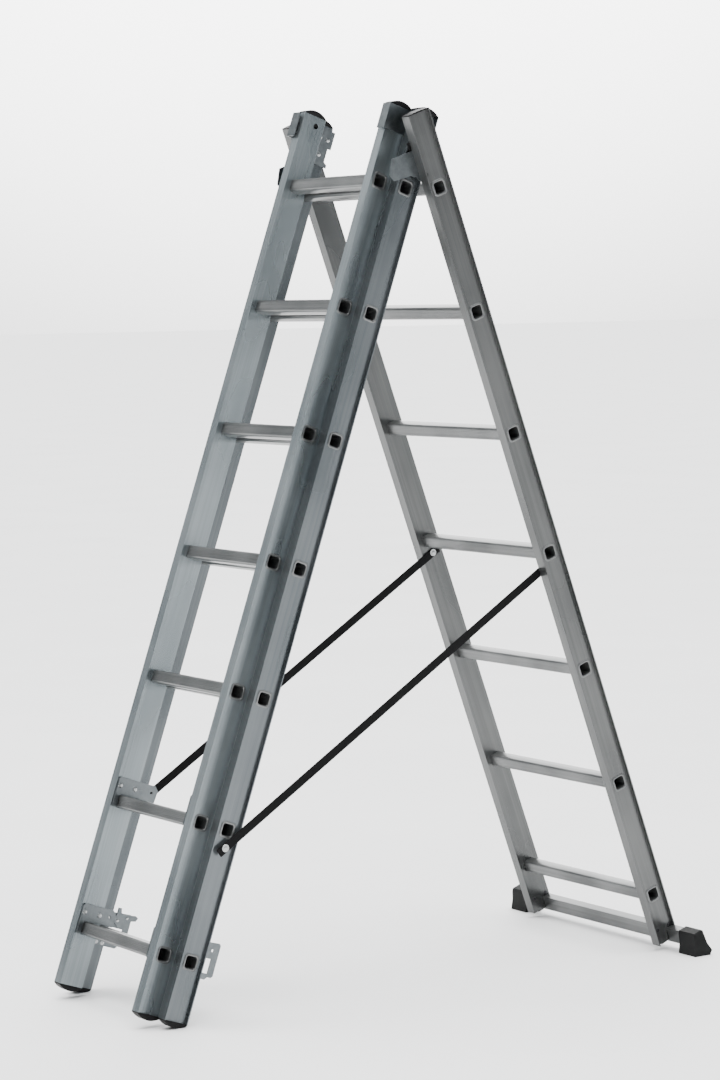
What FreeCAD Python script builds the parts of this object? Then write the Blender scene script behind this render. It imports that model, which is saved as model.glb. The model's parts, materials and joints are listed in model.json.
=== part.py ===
"""Three-section combination ladder, standing as a stepladder.

The fly section nests in front of the middle section, and together they make the front leg.
The base section is hinged to the top of the middle section and makes the rear leg.

Each section is drawn upright, in the nested stack: X across the rungs, Y from front to back,
Z up the stiles, with the lowest fly rung's centre at the origin.  The base section is then
swung open about its hinge, the whole ladder leans back onto both legs, and the frame's origin
is moved to the middle of its footprint on the floor.
"""
import FreeCAD, Part
import math
import os
from FreeCAD import Vector

# ---- driving dimensions, millimetres and degrees -------------------------------------------
RUNG_COUNT = 7
RUNG_PITCH = 280.0
BOTTOM_OVERHANG = 125.0
TOP_OVERHANG = 165.0
LEG_LEAN = 19.6
FLY_WIDTH = 362.0

STILE_DEPTH = 56.5
STILE_WIDTH = 26.0
STILE_WALL = 1.5
LIP_THICKNESS = 2.5
RECESS = 8.0

RUNG_SIZE = 28.0
RUNG_WALL = 1.5
RUNG_CORNER = 5.5
RUNG_INNER_CORNER = 4.0
GROOVE_COUNT = 6
GROOVE_WIDTH = 1.4
GROOVE_DEPTH = 0.6
GROOVE_PITCH = 3.4
RIM_WIDTH = 3.6
RIM_THICKNESS = 1.6
RIM_CORNER = 8.5

NEST_GAP = 2.0
FLY_SIDE_GAP = 10.0
BASE_SIDE_GAP = 5.0
BASE_STILE_LIFT = 7.0

FLY_HOLE_RADIUS = 6.0
FLY_HOLE_DEPTH = 7.0
FLY_HOLE_DROP = 21.0

CAP_EDGE = 2.0
CAP_CROWN = 12.0
BASE_CAP_CROWN = 3.5
CAP_PLUG = 22.0
CAP_PLUG_PLAY = 0.5

HINGE_RISE = 35.5
HINGE_PIN_RADIUS = 4.0
HINGE_PIN_PLAY = 0.1
HINGE_PIN_HEAD_RADIUS = 9.0
HINGE_PIN_HEAD = 2.0
HINGE_PIN_TAIL = 4.0
HINGE_PLATE = 2.5
HINGE_PLATE_HEIGHT = 45.0
HINGE_PLATE_LIFT = 11.0
HINGE_PLATE_REACH = 78.0
HINGE_PLATE_TAIL = 42.0
HINGE_PLATE_SNOUT = 18.0
HINGE_PLATE_NOSE = 13.5
HINGE_PLATE_CHIN = 7.0
HINGE_PLATE_SAG = 4.0
HINGE_RIVET_DEPTHS = (-8.0, 12.0)
HINGE_LOBE_RADIUS = 13.0
BUFFER_DEPTH = 24.0
BUFFER_HEIGHT = 18.0
BUFFER_LAP = 19.0
BUFFER_PLAY = 0.5

GUIDE_PLATE = 3.0
GUIDE_HEIGHT = 55.0
GUIDE_DROP = 3.0
GUIDE_STANDOFF = 6.0
GUIDE_LIP = 28.0
GUIDE_TAIL = 7.5
GUIDE_TAIL_DROP = 5.0
GUIDE_TAIL_HEIGHT = 40.0
GUIDE_LEG_HEIGHT = 88.0
GUIDE_LEG_DEPTH = 27.0
GUIDE_TOE_HEIGHT = 7.0
GUIDE_TOE_SLOPE = 5.0
GUIDE_BACK_EDGE = 1.0
GUIDE_RIVETS = ((6.5, 26.0), (28.0, 26.0), (20.0, 64.0))

HOOK_PLATE = 3.0
HOOK_LAYER_GAP = 0.3
HOOK_FLAP = 2.6
HOOK_RISE = 1.5
HOOK_HEIGHT = 36.5
HOOK_TAB_GAP = 1.75
HOOK_TAB_DROP = 29.0
HOOK_EDGE = 1.5
HOOK_CHAMFER = 4.0
HOOK_RIVET_INSET = 6.5
HOOK_PIVOT_DEPTH = 17.0
HOOK_PIVOT_RADIUS = 12.0
HOOK_REACHES = {"upper": 59.0, "lower": 42.0}
HOOK_FLAP_CHAMFER = 9.0
HOOK_FLAP_TOE = 2.0
HOOK_SPARE_INSET = 15.0
HOOK_SPARE_RISE = 2.0
HOOK_RUNGS = {"upper": 6, "lower": 7}

LATCH_PLATE = 2.6
LATCH_LAYER_GAP = 0.3
LATCH_PIVOT_RISE = 33.0
LATCH_PIVOT_INSET = 12.0
LATCH_LOBE_RADIUS = 14.0
LATCH_HEIGHT = 35.0
LATCH_CHAMFER = 4.0
LATCH_PRONG = 15.0
LATCH_PRONG_DROP = 38.0
LATCH_WINDOW_PLAY = 1.5
LATCH_HOLE_RADIUS = 3.0
LATCH_HOLE_INSET = 2.0
JAW_PLATE = 3.0
JAW_HEIGHT = 13.0
JAW_FRONT = 32.0
JAW_TIP_PLAY = 1.0
JAW_CHAMFER = 5.0
JAW_RIVET_INSETS = (8.0, 24.0)

RIVET_RADIUS = 3.0
RIVET_HEAD_RADIUS = 5.5
RIVET_HEAD = 1.3
RIVET_TAIL = 2.0
RIVET_COLLAR = 1.0
PIVOT_PLAY = 0.1

STRAP_WIDTH = 19.0
STRAP_THICKNESS = 1.6
STRAP_TAIL = 19.0
STRAP_FRONT_RUNG = 6
STRAP_FRONT_DROP = 37.0
STRAP_REAR_RUNG = 4
STRAP_REAR_DROP = 31.0
STRAP_BOLT_RADIUS = 3.0
STRAP_EYE_PLAY = 0.4
STRAP_HEAD_RADIUS = 8.2
STRAP_HEAD = 1.6
STRAP_SPACER_RADIUS = 6.0
STRAP_FACE_GAP = 0.1

BAR_HEIGHT = 34.0
BAR_DEPTH = 20.0
BAR_WALL = 2.0
BAR_OVERHANG = 87.0
BAR_BOLT_RISE = 7.0
BAR_BOLT_DEPTHS = (-17.0, 18.5)
BAR_BOLT_HEAD_RADIUS = 4.5
BAR_BOLT_HEAD = 2.5
PLUG_HEIGHT = 56.0
PLUG_LUG_INSET = 12.0
PLUG_LUG_DEPTH = 20.0
PLUG_LUG_DROP = 3.0
PLUG_LUG_SLOPE = 2.0

# The foot's outline goes round the bar: corners (behind the bar's rear face, above its
# underside), from the top of the front face round over the back to below the floor.
FOOT_PROFILE = ((-29.0, 12.0), (-25.0, 31.0), (-21.0, 37.5), (0.5, 37.5), (3.5, 34.5),
                (3.5, 4.0), (10.7, -17.5), (1.6, -25.4), (-6.0, -38.0), (-46.0, -24.0),
                (-39.5, -10.5))
FOOT_LENGTH = 58.0
FOOT_COVER = 10.0
FOOT_TAPER = 5.0
CUT_MARGIN = 1.0

# ---- sizes that follow ----------------------------------------------------------------------
STACK_PITCH = STILE_DEPTH / 2 + RUNG_SIZE / 2 + NEST_GAP
FLY_HALF = FLY_WIDTH / 2
MIDDLE_HALF = FLY_HALF + FLY_SIDE_GAP + STILE_WIDTH
BASE_HALF = MIDDLE_HALF + BASE_SIDE_GAP + STILE_WIDTH
FLY_Y, MIDDLE_Y, BASE_Y = 0.0, STACK_PITCH, 2 * STACK_PITCH
STILE_FOOT = -BOTTOM_OVERHANG
STILE_TOP = (RUNG_COUNT - 1) * RUNG_PITCH + TOP_OVERHANG
HINGE = Vector(0, 1.5 * STACK_PITCH, (RUNG_COUNT - 1) * RUNG_PITCH + HINGE_RISE)
OPENING = 2 * LEG_LEAN
SIDES = {"left": -1, "right": 1}
X_AXIS = Vector(1, 0, 0)


def rung_z(number):
    """Height of a rung's centre; rung 1 is the highest."""
    return (RUNG_COUNT - number) * RUNG_PITCH


# ---- small shape helpers --------------------------------------------------------------------
def box(x0, x1, y0, y1, z0, z1):
    return Part.makeBox(x1 - x0, y1 - y0, z1 - z0, Vector(x0, y0, z0))


def rod(x0, x1, y, z, radius):
    """Cylinder along X."""
    return Part.makeCylinder(radius, x1 - x0, Vector(x0, y, z), X_AXIS)


def sheet(outline, x0, x1):
    """Flat plate in the YZ plane: outline is a list of (y, z) corners."""
    corners = [Vector(x0, y, z) for y, z in outline]
    wire = Part.makePolygon(corners + corners[:1])
    return Part.Face(wire).extrude(Vector(x1 - x0, 0, 0))


def rounded_bar(x0, x1, y, z, size, corner):
    """Square bar along X with rounded corners."""
    half = size / 2
    bar = box(x0, x1, y - half, y + half, z - half, z + half)
    along = [e for e in bar.Edges if abs(e.tangentAt(e.FirstParameter).x) > 0.99]
    return bar.makeFillet(corner, along)


def on_side(shape, side):
    """The shape is drawn on the right, at +X; the left one is its mirror image."""
    return shape if side > 0 else shape.mirror(Vector(0, 0, 0), X_AXIS)


def both_sides(shape):
    return Part.makeCompound([on_side(shape, side) for side in SIDES.values()])


def pin(x_head, x_tail, y, z, radius, head_radius, head, tail_radius=0.0, tail=0.0):
    """Rivet or bolt along X, with its head at the low-X end unless x_tail is smaller."""
    low, high = min(x_head, x_tail), max(x_head, x_tail)
    body = rod(low, high, y, z, radius)
    if x_head < x_tail:
        heads = [rod(x_head - head, x_head, y, z, head_radius)]
        tails = [rod(x_tail, x_tail + tail, y, z, tail_radius)] if tail else []
    else:
        heads = [rod(x_head, x_head + head, y, z, head_radius)]
        tails = [rod(x_tail - tail, x_tail, y, z, tail_radius)] if tail else []
    return body.multiFuse(heads + tails).removeSplitter()


def rivet(seat, wall, y, z):
    """Domed head on the face at seat, collar behind the stile wall."""
    return pin(seat, wall, y, z, RIVET_RADIUS, RIVET_HEAD_RADIUS, RIVET_HEAD,
               RIVET_RADIUS + RIVET_COLLAR, RIVET_TAIL)


# ---- parts of every section -----------------------------------------------------------------
def stile(half, y, foot, drills):
    """Box extrusion from the height foot up, with a flat inner face and an outer face
    recessed between two lips."""
    inner, outer, floor = half - STILE_WIDTH, half, half - RECESS
    front, back = y - STILE_DEPTH / 2, y + STILE_DEPTH / 2
    body = box(inner, outer, front, back, foot, STILE_TOP)
    recess = box(floor, outer, front + LIP_THICKNESS, back - LIP_THICKNESS, foot, STILE_TOP)
    hollow = box(inner + STILE_WALL, floor - STILE_WALL, front + STILE_WALL, back - STILE_WALL,
                 foot, STILE_TOP)
    sockets = [rounded_bar(inner, outer, y, rung_z(n), RUNG_SIZE, RUNG_CORNER)
               for n in range(1, RUNG_COUNT + 1)]
    return body.cut([recess, hollow] + sockets + drills)


def rung(half, y, number):
    """Square tube with a ribbed front and a flared rim outside each stile."""
    z = rung_z(number)
    end = half - RECESS
    tube = rounded_bar(-end, end, y, z, RUNG_SIZE, RUNG_CORNER)
    rims = [rounded_bar(end, end + RIM_THICKNESS, y, z, RUNG_SIZE + 2 * RIM_WIDTH, RIM_CORNER),
            rounded_bar(-end - RIM_THICKNESS, -end, y, z, RUNG_SIZE + 2 * RIM_WIDTH, RIM_CORNER)]
    bore_size = RUNG_SIZE - 2 * RUNG_WALL
    reach = end + RIM_THICKNESS
    bore = rounded_bar(-reach, reach, y, z, bore_size, RUNG_INNER_CORNER)
    inner = half - STILE_WIDTH
    front = y - RUNG_SIZE / 2
    grooves = []
    for i in range(GROOVE_COUNT):
        middle = z + (i - (GROOVE_COUNT - 1) / 2) * GROOVE_PITCH
        grooves.append(box(-inner, inner, front, front + GROOVE_DEPTH,
                           middle - GROOVE_WIDTH / 2, middle + GROOVE_WIDTH / 2))
    return tube.multiFuse(rims).removeSplitter().cut([bore] + grooves)


def crowned_cap(half, y, z, up, crown=CAP_CROWN):
    """End cap with an arched crown, on the stile end at height z; up is 1 or -1."""
    inner = half - STILE_WIDTH
    front, back = y - STILE_DEPTH / 2, y + STILE_DEPTH / 2
    corners = [Vector(inner, front, z), Vector(inner, front, z + up * CAP_EDGE),
               Vector(inner, y, z + up * crown), Vector(inner, back, z + up * CAP_EDGE),
               Vector(inner, back, z)]
    edges = [Part.makeLine(corners[0], corners[1]),
             Part.Arc(corners[1], corners[2], corners[3]).toShape(),
             Part.makeLine(corners[3], corners[4]),
             Part.makeLine(corners[4], corners[0])]
    arch = Part.Face(Part.Wire(edges)).extrude(Vector(STILE_WIDTH, 0, 0))
    inset = STILE_WALL + CAP_PLUG_PLAY
    plug = box(inner + inset, half - RECESS - inset, front + inset, back - inset,
               min(z, z - up * CAP_PLUG), max(z, z - up * CAP_PLUG))
    return arch.fuse(plug).removeSplitter()


# ---- fly section ----------------------------------------------------------------------------
def hook_height(which):
    """Height of the line of hook rivets over the rung that carries the hook."""
    return rung_z(HOOK_RUNGS[which]) + RUNG_SIZE / 2 + HOOK_RISE + HOOK_HEIGHT / 2


def hook_plate_face():
    """Where the fixed plate of a hook lies over its flap, on the flap's side."""
    return FLY_HALF - STILE_WIDTH - HOOK_FLAP - 2 * HOOK_LAYER_GAP


def hook_rivets(which):
    """Fixed rivet at the front, and the one behind it that the hook's flap turns on."""
    seat = hook_plate_face() - HOOK_PLATE
    wall = FLY_HALF - STILE_WIDTH + STILE_WALL
    front_y = -STILE_DEPTH / 2 + HOOK_EDGE + HOOK_RIVET_INSET
    return [rivet(seat, wall, y, hook_height(which)) for y in (front_y, HOOK_PIVOT_DEPTH)]


def hook_plate(which):
    """Fixed half of a rung hook: over the flap, packed off the stile along its front edge,
    with a tab down the front of the rung."""
    inner = FLY_HALF - STILE_WIDTH
    face = hook_plate_face()
    front = -STILE_DEPTH / 2 + HOOK_EDGE
    back = STILE_DEPTH / 2 - HOOK_EDGE
    low = rung_z(HOOK_RUNGS[which]) + RUNG_SIZE / 2 + HOOK_RISE
    high = low + HOOK_HEIGHT
    tab_back = -RUNG_SIZE / 2 - HOOK_TAB_GAP
    outline = [(front, low - HOOK_TAB_DROP), (tab_back, low - HOOK_TAB_DROP), (tab_back, low),
               (back, low), (back, high), (front + HOOK_CHAMFER, high),
               (front, high - HOOK_CHAMFER)]
    plate = sheet(outline, face - HOOK_PLATE, face)
    packer = box(face, inner, front, tab_back, low, high - HOOK_CHAMFER)
    return plate.fuse(packer).removeSplitter().cut(hook_rivets(which))


def hook_flap(which):
    """Swinging half of a rung hook: reaches back over the rung of the section behind."""
    outer = FLY_HALF - STILE_WIDTH - HOOK_LAYER_GAP
    z = hook_height(which)
    low, high = z - HOOK_HEIGHT / 2, z + HOOK_HEIGHT / 2
    back = HOOK_PIVOT_DEPTH + HOOK_REACHES[which]
    neck = HOOK_PIVOT_DEPTH + HOOK_PIVOT_RADIUS
    outline = [(HOOK_PIVOT_DEPTH, z - HOOK_PIVOT_RADIUS), (neck, low),
               (back - HOOK_FLAP_TOE, low), (back, high - HOOK_FLAP_CHAMFER),
               (back - HOOK_FLAP_CHAMFER, high), (neck, high),
               (HOOK_PIVOT_DEPTH, z + HOOK_PIVOT_RADIUS)]
    x0 = outer - HOOK_FLAP
    lobe = rod(x0, outer, HOOK_PIVOT_DEPTH, z, HOOK_PIVOT_RADIUS)
    eye = rod(x0, outer, HOOK_PIVOT_DEPTH, z, RIVET_RADIUS + PIVOT_PLAY)
    spare_hole = rod(x0, outer, back - HOOK_SPARE_INSET, z + HOOK_SPARE_RISE, RIVET_RADIUS)
    return sheet(outline, x0, outer).fuse(lobe).removeSplitter().cut([eye, spare_hole])


def fly_hole():
    """Round hole through the inner wall near the top of a fly stile."""
    inner = FLY_HALF - STILE_WIDTH
    return rod(inner, inner + STILE_WALL, FLY_HOLE_DEPTH, STILE_TOP - FLY_HOLE_DROP,
               FLY_HOLE_RADIUS)


# ---- middle section -------------------------------------------------------------------------
def hinge_pin():
    inner = MIDDLE_HALF - STILE_WIDTH
    end = BASE_HALF - STILE_WIDTH + STILE_WALL + HINGE_PIN_TAIL
    return pin(inner, end, HINGE.y, HINGE.z, HINGE_PIN_RADIUS, HINGE_PIN_HEAD_RADIUS,
               HINGE_PIN_HEAD)


def guide_rivets():
    inner = MIDDLE_HALF - STILE_WIDTH
    top = STILE_TOP - GUIDE_DROP
    back = MIDDLE_Y + STILE_DEPTH / 2
    return [rivet(inner - GUIDE_PLATE, inner + STILE_WALL, back - inset, top - drop)
            for inset, drop in GUIDE_RIVETS]


def guide_bracket():
    """Folded bracket that keeps the fly stile beside the top of the middle stile."""
    outer = MIDDLE_HALF - STILE_WIDTH
    inner = outer - GUIDE_PLATE
    top = STILE_TOP - GUIDE_DROP
    low = top - GUIDE_HEIGHT
    fold = -STILE_DEPTH / 2 - GUIDE_STANDOFF
    back = MIDDLE_Y + STILE_DEPTH / 2
    edge = back - GUIDE_BACK_EDGE
    tail = back + GUIDE_TAIL
    tail_top = top - GUIDE_TAIL_DROP
    tail_low = tail_top - GUIDE_TAIL_HEIGHT
    leg_front, leg_low = back - GUIDE_LEG_DEPTH, top - GUIDE_LEG_HEIGHT
    toe_top = leg_low + GUIDE_TOE_HEIGHT
    outline = [(fold - GUIDE_PLATE, low), (leg_front, low), (leg_front, leg_low),
               (tail, leg_low), (tail, toe_top), (edge, toe_top + GUIDE_TOE_SLOPE),
               (edge, tail_low), (tail, tail_low), (tail, tail_top), (edge, tail_top),
               (edge, top), (fold - GUIDE_PLATE, top)]
    plate = sheet(outline, inner, outer)
    lip = box(outer - GUIDE_LIP, outer, fold - GUIDE_PLATE, fold, low, top)
    return plate.fuse(lip).removeSplitter().cut(guide_rivets())


def latch_pivot():
    return Vector(0, MIDDLE_Y + STILE_DEPTH / 2 - LATCH_PIVOT_INSET,
                  rung_z(RUNG_COUNT) + LATCH_PIVOT_RISE)


def latch_rivet():
    inner = MIDDLE_HALF - STILE_WIDTH
    head_face = inner - JAW_PLATE - 2 * LATCH_LAYER_GAP - LATCH_PLATE
    pivot = latch_pivot()
    return rivet(head_face, inner + STILE_WALL, pivot.y, pivot.z)


def jaw_rivets():
    inner = MIDDLE_HALF - STILE_WIDTH
    z = rung_z(RUNG_COUNT) - RUNG_SIZE / 2 - LATCH_WINDOW_PLAY - JAW_HEIGHT / 2
    back = MIDDLE_Y + STILE_DEPTH / 2
    return [rivet(inner - JAW_PLATE, inner + STILE_WALL, back - inset, z)
            for inset in JAW_RIVET_INSETS]


def latch_jaw():
    """Fixed lower jaw under the place where the folded base section's lowest rung comes."""
    inner = MIDDLE_HALF - STILE_WIDTH
    high = rung_z(RUNG_COUNT) - RUNG_SIZE / 2 - LATCH_WINDOW_PLAY
    low = high - JAW_HEIGHT
    back = MIDDLE_Y + STILE_DEPTH / 2
    tip = BASE_Y + RUNG_SIZE / 2 + JAW_TIP_PLAY
    outline = [(back - JAW_FRONT, low), (tip - JAW_CHAMFER, low), (tip, low + JAW_CHAMFER),
               (tip, high), (back - JAW_FRONT, high)]
    return sheet(outline, inner - JAW_PLATE, inner).cut(jaw_rivets())


def latch():
    """Swinging plate that drops over the folded base section's lowest rung and holds it."""
    outer = MIDDLE_HALF - STILE_WIDTH - JAW_PLATE - LATCH_LAYER_GAP
    x0 = outer - LATCH_PLATE
    pivot = latch_pivot()
    rung_top = rung_z(RUNG_COUNT) + RUNG_SIZE / 2
    low = rung_top + LATCH_WINDOW_PLAY
    high = low + LATCH_HEIGHT
    prong_front = BASE_Y + RUNG_SIZE / 2 + LATCH_WINDOW_PLAY
    prong_back = prong_front + LATCH_PRONG
    prong_low = low - LATCH_PRONG_DROP
    outline = [(pivot.y, pivot.z - LATCH_LOBE_RADIUS), (pivot.y + LATCH_LOBE_RADIUS, low),
               (prong_front, low), (prong_front, prong_low),
               (prong_back - LATCH_CHAMFER, prong_low), (prong_back, prong_low + LATCH_CHAMFER),
               (prong_back, high - LATCH_CHAMFER), (prong_back - LATCH_CHAMFER, high),
               (pivot.y, pivot.z + LATCH_LOBE_RADIUS)]
    lobe = rod(x0, outer, pivot.y, pivot.z, LATCH_LOBE_RADIUS)
    eye = rod(x0, outer, pivot.y, pivot.z, RIVET_RADIUS + PIVOT_PLAY)
    thumb_hole = rod(x0, outer, prong_front - LATCH_HOLE_INSET, pivot.z, LATCH_HOLE_RADIUS)
    return sheet(outline, x0, outer).fuse(lobe).removeSplitter().cut([eye, thumb_hole])


# ---- straps ---------------------------------------------------------------------------------
STRAP_X = MIDDLE_HALF + BASE_SIDE_GAP / 2


def strap_front_point():
    return Vector(0, MIDDLE_Y, rung_z(STRAP_FRONT_RUNG) - STRAP_FRONT_DROP)


def strap_rear_point():
    """On the base section, still folded into the stack."""
    return Vector(0, BASE_Y, rung_z(STRAP_REAR_RUNG) - STRAP_REAR_DROP)


def strap_front_bolt():
    """Seats on the recessed face of the middle stile and stands clear of its lips."""
    seat = MIDDLE_HALF - RECESS
    strap_in = STRAP_X - STRAP_THICKNESS / 2 - STRAP_FACE_GAP
    strap_out = STRAP_X + STRAP_THICKNESS / 2 + STRAP_FACE_GAP
    at = strap_front_point()
    bolt = pin(strap_out, seat - STILE_WALL, at.y, at.z, STRAP_BOLT_RADIUS, STRAP_HEAD_RADIUS,
               STRAP_HEAD, STRAP_BOLT_RADIUS + RIVET_COLLAR, RIVET_TAIL)
    spacer = rod(seat, strap_in, at.y, at.z, STRAP_SPACER_RADIUS)
    return bolt.fuse(spacer).removeSplitter()


def strap_rear_bolt():
    """Seats on the flat inner face of the base stile, with the strap under its head."""
    seat = BASE_HALF - STILE_WIDTH
    strap_in = STRAP_X - STRAP_THICKNESS / 2 - STRAP_FACE_GAP
    strap_out = STRAP_X + STRAP_THICKNESS / 2 + STRAP_FACE_GAP
    at = strap_rear_point()
    bolt = pin(strap_in, seat + STILE_WALL, at.y, at.z, STRAP_BOLT_RADIUS, STRAP_HEAD_RADIUS,
               STRAP_HEAD, STRAP_BOLT_RADIUS + RIVET_COLLAR, RIVET_TAIL)
    spacer = rod(strap_out, seat, at.y, at.z, STRAP_SPACER_RADIUS)
    return bolt.fuse(spacer).removeSplitter()


def strap():
    """Flat webbing, taut between its two bolts with the base section swung open."""
    start = strap_front_point()
    end = opened_point(strap_rear_point())
    run = end - start
    length = run.Length
    eye = STRAP_BOLT_RADIUS + STRAP_EYE_PLAY
    x0, x1 = STRAP_X - STRAP_THICKNESS / 2, STRAP_X + STRAP_THICKNESS / 2
    half = STRAP_WIDTH / 2
    web = box(x0, x1, -half, half, -STRAP_TAIL, length + STRAP_TAIL)
    web = web.cut([rod(x0, x1, 0, 0, eye), rod(x0, x1, 0, length, eye)])
    lean = math.degrees(math.atan2(run.y, run.z))
    web.rotate(Vector(0, 0, 0), X_AXIS, -lean)
    web.translate(Vector(0, start.y, start.z))
    return web


# ---- base section ---------------------------------------------------------------------------
def opened_point(point):
    """Where a point of the folded base section goes when it is swung open."""
    swing = FreeCAD.Rotation(X_AXIS, OPENING)
    return HINGE + swing.multVec(point - HINGE)


def bar_bolts():
    outer = BASE_HALF - RECESS
    inner = BASE_HALF - STILE_WIDTH
    z = STILE_FOOT + BAR_HEIGHT + BAR_BOLT_RISE
    return [pin(outer, inner, BASE_Y + y, z, RIVET_RADIUS, BAR_BOLT_HEAD_RADIUS, BAR_BOLT_HEAD,
                BAR_BOLT_HEAD_RADIUS, BAR_BOLT_HEAD) for y in BAR_BOLT_DEPTHS]


def bar_envelope(half_length):
    """Outside of the stabiliser bar, in the rear lower corner of the base stiles."""
    back = BASE_Y + STILE_DEPTH / 2
    return box(-half_length, half_length, back - BAR_DEPTH, back,
               STILE_FOOT, STILE_FOOT + BAR_HEIGHT)


def stabiliser_bar():
    half = BASE_HALF + BAR_OVERHANG
    back = BASE_Y + STILE_DEPTH / 2
    bore = box(-half, half, back - BAR_DEPTH + BAR_WALL, back - BAR_WALL,
               STILE_FOOT + BAR_WALL, STILE_FOOT + BAR_HEIGHT - BAR_WALL)
    return bar_envelope(half).cut(bore)


def foot_plug():
    """Plastic plug in the bottom of a base stile, stepped over the stabiliser bar."""
    inset = STILE_WALL + CAP_PLUG_PLAY
    x0, x1 = BASE_HALF - STILE_WIDTH + inset, BASE_HALF - RECESS - inset
    front, back = BASE_Y - STILE_DEPTH / 2 + inset, BASE_Y + STILE_DEPTH / 2 - inset
    bar_front = BASE_Y + STILE_DEPTH / 2 - BAR_DEPTH
    bar_top = STILE_FOOT + BAR_HEIGHT
    low = STILE_FOOT + BASE_STILE_LIFT
    lug_front = BASE_Y - STILE_DEPTH / 2 + PLUG_LUG_INSET
    lug_back = lug_front + PLUG_LUG_DEPTH
    outline = [(front, low), (lug_front, low), (lug_front + PLUG_LUG_SLOPE, low - PLUG_LUG_DROP),
               (lug_back - PLUG_LUG_SLOPE, low - PLUG_LUG_DROP), (lug_back, low),
               (bar_front, low), (bar_front, bar_top), (back, bar_top),
               (back, STILE_FOOT + PLUG_HEIGHT), (front, STILE_FOOT + PLUG_HEIGHT)]
    return sheet(outline, x0, x1).cut(bar_bolts())


def hinge_plate_rivets():
    seat = BASE_HALF - STILE_WIDTH
    z = HINGE.z + HINGE_PLATE_LIFT + HINGE_PLATE_HEIGHT / 2
    return [rivet(seat - HINGE_PLATE, seat + STILE_WALL, BASE_Y + y, z)
            for y in HINGE_RIVET_DEPTHS]


def hinge_plate():
    """Plate on the inner face of the base stile that carries the hinge eye."""
    outer = BASE_HALF - STILE_WIDTH
    x0 = outer - HINGE_PLATE
    low = HINGE.z + HINGE_PLATE_LIFT
    high = low + HINGE_PLATE_HEIGHT
    front = HINGE.y - HINGE_PLATE_REACH
    back = HINGE.y + HINGE_PLATE_TAIL
    outline = [(front + HINGE_PLATE_SNOUT, high), (front, low + HINGE_PLATE_NOSE),
               (front + HINGE_PLATE_CHIN, low),
               (HINGE.y - 2 * HINGE_LOBE_RADIUS, low - HINGE_PLATE_SAG),
               (HINGE.y - HINGE_LOBE_RADIUS, HINGE.z), (HINGE.y + HINGE_LOBE_RADIUS, HINGE.z),
               (back, low), (back, high)]
    lobe = rod(x0, outer, HINGE.y, HINGE.z, HINGE_LOBE_RADIUS)
    eye = rod(x0, outer, HINGE.y, HINGE.z, HINGE_PIN_RADIUS + HINGE_PIN_PLAY)
    plate = sheet(outline, x0, outer).fuse(lobe).removeSplitter()
    return plate.cut([eye] + hinge_plate_rivets())


def hinge_buffer():
    """Plastic block on top of the hinge plate, in the gap beside the middle stile."""
    outer = BASE_HALF - STILE_WIDTH
    low = HINGE.z + HINGE_PLATE_LIFT + HINGE_PLATE_HEIGHT
    back = BASE_Y - STILE_DEPTH / 2 + BUFFER_LAP
    return box(outer - BASE_SIDE_GAP + BUFFER_PLAY, outer, back - BUFFER_DEPTH, back,
               low, low + BUFFER_HEIGHT)


# ---- placing --------------------------------------------------------------------------------
def opened(shape):
    """Swing a folded base-section shape open about the hinge."""
    moved = shape.copy()
    moved.rotate(HINGE, X_AXIS, OPENING)
    return moved


def leaned(shape):
    """Lean the upright stack back, so that both legs stand at the same angle."""
    moved = shape.copy()
    moved.rotate(Vector(0, 0, 0), X_AXIS, -LEG_LEAN)
    return moved


def leaned_point(point):
    return FreeCAD.Rotation(X_AXIS, -LEG_LEAN).multVec(point)


def tight_box(shape):
    return shape.optimalBoundingBox(False, False)


def stabiliser_foot(floor_z):
    """Rubber foot on the end of the stabiliser bar, with a flat sole on the floor."""
    back = BASE_Y + STILE_DEPTH / 2
    bar_end = BASE_HALF + BAR_OVERHANG
    x1 = bar_end + FOOT_COVER
    x0 = x1 - FOOT_LENGTH
    side = sheet([(back + y, STILE_FOOT + z) for y, z in FOOT_PROFILE], x0, x1)
    reach = side.BoundBox
    end = [Vector(x0, reach.YMin, reach.ZMin), Vector(x1, reach.YMin, reach.ZMin),
           Vector(x1, reach.YMin, STILE_FOOT), Vector(x1 - FOOT_TAPER, reach.YMin, reach.ZMax),
           Vector(x0, reach.YMin, reach.ZMax)]
    tapered = Part.Face(Part.makePolygon(end + end[:1])).extrude(Vector(0, reach.YLength, 0))
    block = side.common(tapered).cut(bar_envelope(bar_end))
    placed = leaned(opened(block))
    reach = placed.BoundBox
    under = box(reach.XMin - CUT_MARGIN, reach.XMax + CUT_MARGIN, reach.YMin - CUT_MARGIN,
                reach.YMax + CUT_MARGIN, reach.ZMin - CUT_MARGIN, floor_z)
    return placed.cut(under)


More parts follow.
